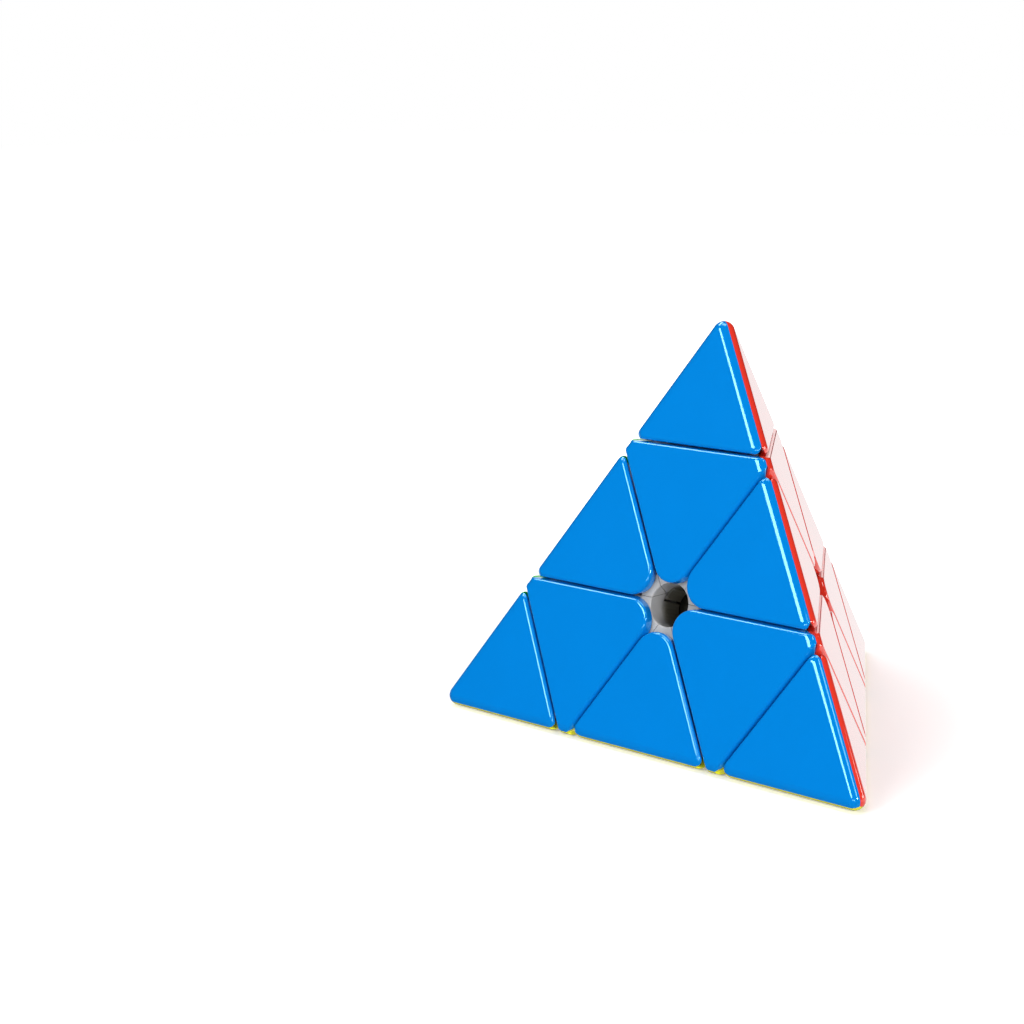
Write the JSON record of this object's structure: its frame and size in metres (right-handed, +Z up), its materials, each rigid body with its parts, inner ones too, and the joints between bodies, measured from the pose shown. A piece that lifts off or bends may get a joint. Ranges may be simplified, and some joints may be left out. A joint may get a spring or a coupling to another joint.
{
  "type": "pyramid twisty puzzle",
  "caption": "Pyramid-shaped twisty puzzle in four colours, with tips and corner layers that turn about axes through a hidden ball core.",
  "frame": {"origin": "centre of the ball core, where the four turning axes cross; it is the centroid of the puzzle", "axes": "+Z up through the top corner, -Y towards the blue face, +X towards the right corner; the yellow face is level underneath"},
  "size_m": [0.098, 0.0854, 0.0807],
  "materials": {
    "blue_shell": "gloss",
    "red_shell": "gloss",
    "green_shell": "gloss",
    "yellow_shell": "gloss",
    "inner_plastic": "satin",
    "core_plastic": "satin",
    "steel": "satin"
  },
  "bodies": {
    "core_body": {"core": "core_plastic", "screw_top": "steel", "screw_left": "steel", "screw_right": "steel", "screw_back": "steel", "spring_top": "steel", "spring_left": "steel", "spring_right": "steel", "spring_back": "steel"},
    "centre_top_body": {"centre_top": "inner_plastic", "centre_top_blue": "blue_shell", "centre_top_red": "red_shell", "centre_top_green": "green_shell"},
    "centre_left_body": {"centre_left": "inner_plastic", "centre_left_blue": "blue_shell", "centre_left_green": "green_shell", "centre_left_yellow": "yellow_shell"},
    "centre_right_body": {"centre_right": "inner_plastic", "centre_right_blue": "blue_shell", "centre_right_red": "red_shell", "centre_right_yellow": "yellow_shell"},
    "centre_back_body": {"centre_back": "inner_plastic", "centre_back_red": "red_shell", "centre_back_green": "green_shell", "centre_back_yellow": "yellow_shell"},
    "tip_top_body": {"tip_top": "inner_plastic", "tip_top_blue": "blue_shell", "tip_top_red": "red_shell", "tip_top_green": "green_shell"},
    "tip_left_body": {"tip_left": "inner_plastic", "tip_left_blue": "blue_shell", "tip_left_green": "green_shell", "tip_left_yellow": "yellow_shell"},
    "tip_right_body": {"tip_right": "inner_plastic", "tip_right_blue": "blue_shell", "tip_right_red": "red_shell", "tip_right_yellow": "yellow_shell"},
    "tip_back_body": {"tip_back": "inner_plastic", "tip_back_red": "red_shell", "tip_back_green": "green_shell", "tip_back_yellow": "yellow_shell"},
    "edge_top_left_body": {"edge_top_left": "inner_plastic", "edge_top_left_blue": "blue_shell", "edge_top_left_green": "green_shell"},
    "edge_top_right_body": {"edge_top_right": "inner_plastic", "edge_top_right_blue": "blue_shell", "edge_top_right_red": "red_shell"},
    "edge_top_back_body": {"edge_top_back": "inner_plastic", "edge_top_back_red": "red_shell", "edge_top_back_green": "green_shell"},
    "edge_left_right_body": {"edge_left_right": "inner_plastic", "edge_left_right_blue": "blue_shell", "edge_left_right_yellow": "yellow_shell"},
    "edge_right_back_body": {"edge_right_back": "inner_plastic", "edge_right_back_red": "red_shell", "edge_right_back_yellow": "yellow_shell"},
    "edge_back_left_body": {"edge_back_left": "inner_plastic", "edge_back_left_green": "green_shell", "edge_back_left_yellow": "yellow_shell"}
  },
  "joints": [
    {"name": "turn_top", "type": "hinge", "parent": "core_body", "child": "centre_top_body", "pos_m": [0, 0, 0], "axis": [0, 0, 1], "range_deg": [-240, 120]},
    {"name": "turn_left", "type": "hinge", "parent": "core_body", "child": "centre_left_body", "pos_m": [0, 0, 0], "axis": [-0.8165, -0.4714, -0.3333], "range_deg": [-240, 120]},
    {"name": "turn_right", "type": "hinge", "parent": "core_body", "child": "centre_right_body", "pos_m": [0, 0, 0], "axis": [0.8165, -0.4714, -0.3333], "range_deg": [-240, 120]},
    {"name": "turn_back", "type": "hinge", "parent": "core_body", "child": "centre_back_body", "pos_m": [0, 0, 0], "axis": [0, 0.9428, -0.3333], "range_deg": [-240, 120]},
    {"name": "twist_tip_top", "type": "hinge", "parent": "centre_top_body", "child": "tip_top_body", "pos_m": [0, 0, 0], "axis": [0, 0, 1], "continuous": true},
    {"name": "twist_tip_left", "type": "hinge", "parent": "centre_left_body", "child": "tip_left_body", "pos_m": [0, 0, 0], "axis": [-0.8165, -0.4714, -0.3333], "continuous": true},
    {"name": "twist_tip_right", "type": "hinge", "parent": "centre_right_body", "child": "tip_right_body", "pos_m": [0, 0, 0], "axis": [0.8165, -0.4714, -0.3333], "continuous": true},
    {"name": "twist_tip_back", "type": "hinge", "parent": "centre_back_body", "child": "tip_back_body", "pos_m": [0, 0, 0], "axis": [0, 0.9428, -0.3333], "continuous": true},
    {"name": "carry_top_left", "type": "hinge", "parent": "centre_top_body", "child": "edge_top_left_body", "pos_m": [0, 0, 0], "axis": [-0.8165, -0.4714, -0.3333], "range_deg": [-240, 120]},
    {"name": "carry_top_right", "type": "hinge", "parent": "centre_top_body", "child": "edge_top_right_body", "pos_m": [0, 0, 0], "axis": [0.8165, -0.4714, -0.3333], "range_deg": [-240, 120]},
    {"name": "carry_top_back", "type": "hinge", "parent": "centre_top_body", "child": "edge_top_back_body", "pos_m": [0, 0, 0], "axis": [0, 0.9428, -0.3333], "range_deg": [-240, 120]},
    {"name": "carry_left_right", "type": "hinge", "parent": "centre_left_body", "child": "edge_left_right_body", "pos_m": [0, 0, 0], "axis": [0.8165, -0.4714, -0.3333], "range_deg": [-240, 120]},
    {"name": "carry_right_back", "type": "hinge", "parent": "centre_right_body", "child": "edge_right_back_body", "pos_m": [0, 0, 0], "axis": [0, 0.9428, -0.3333], "range_deg": [-240, 120]},
    {"name": "carry_back_left", "type": "hinge", "parent": "centre_back_body", "child": "edge_back_left_body", "pos_m": [0, 0, 0], "axis": [-0.8165, -0.4714, -0.3333], "range_deg": [-240, 120]}
  ],
  "couplings": [
    {"joint": "carry_top_left", "follows": "turn_left", "ratio": 1},
    {"joint": "carry_top_right", "follows": "turn_right", "ratio": 1},
    {"joint": "carry_top_back", "follows": "turn_back", "ratio": 1},
    {"joint": "carry_left_right", "follows": "turn_right", "ratio": 1},
    {"joint": "carry_right_back", "follows": "turn_back", "ratio": 1},
    {"joint": "carry_back_left", "follows": "turn_left", "ratio": 1}
  ]
}
